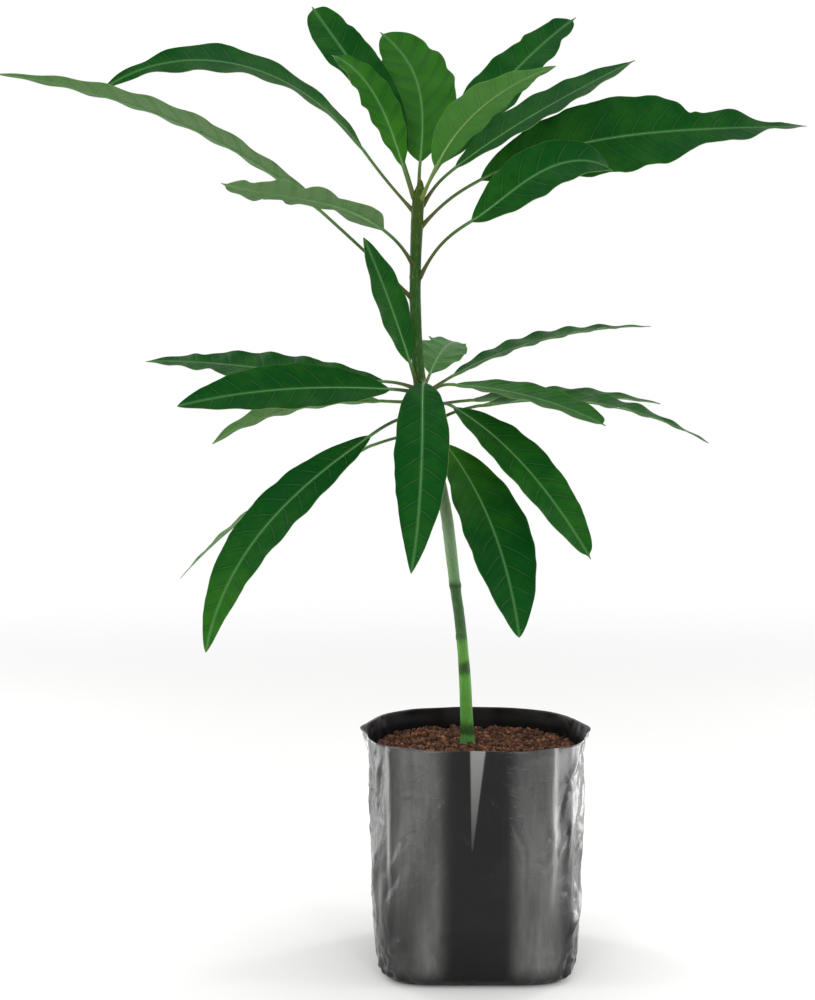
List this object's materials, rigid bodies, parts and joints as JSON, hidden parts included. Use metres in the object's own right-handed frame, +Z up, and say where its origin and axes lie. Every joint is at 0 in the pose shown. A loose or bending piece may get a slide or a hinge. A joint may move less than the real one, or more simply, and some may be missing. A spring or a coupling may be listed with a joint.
{
  "type": "potted mango tree",
  "caption": "Young mango tree in a black nursery bag: one slender leaning stem with long drooping lance-shaped leaves in whorls, standing on its flat-bottomed bag.",
  "frame": {"origin": "middle of the bag's flat underside, at floor level", "axes": "+Z up along the stem, +X to the right and -Y to the front of the plant"},
  "size_m": [0.6325, 0.3129, 0.7783],
  "materials": {
    "bag_film": "gloss",
    "potting_mix": "matte",
    "stem_bark": "matte",
    "mature_leaf": "satin",
    "young_leaf": "satin"
  },
  "bodies": {
    "root": {"nursery_bag": "bag_film", "potting_mix": "potting_mix", "stem": "stem_bark", "top_leaf_back_left": "mature_leaf", "top_leaf_narrow": "young_leaf", "top_leaf_back_broad": "mature_leaf", "top_leaf_back_right": "mature_leaf", "top_leaf_front_right": "young_leaf", "top_leaf_right": "mature_leaf", "upper_leaf_left_arching": "mature_leaf", "upper_leaf_left_long": "mature_leaf", "upper_leaf_left_front": "mature_leaf", "upper_leaf_right_long": "young_leaf", "upper_leaf_right_front": "mature_leaf", "middle_leaf_upright": "mature_leaf", "lower_leaf_left_back": "mature_leaf", "lower_leaf_left": "mature_leaf", "lower_leaf_left_front": "mature_leaf", "hanging_leaf_left": "mature_leaf", "hanging_leaf_left_back": "mature_leaf", "hanging_leaf_front": "mature_leaf", "hanging_leaf_right": "mature_leaf", "drooping_leaf_right": "mature_leaf", "lower_leaf_right_rising": "mature_leaf", "lower_leaf_back": "mature_leaf", "lower_leaf_right_front": "mature_leaf", "lower_leaf_right_back": "mature_leaf", "lower_leaf_right_long": "mature_leaf"}
  },
  "joints": []
}
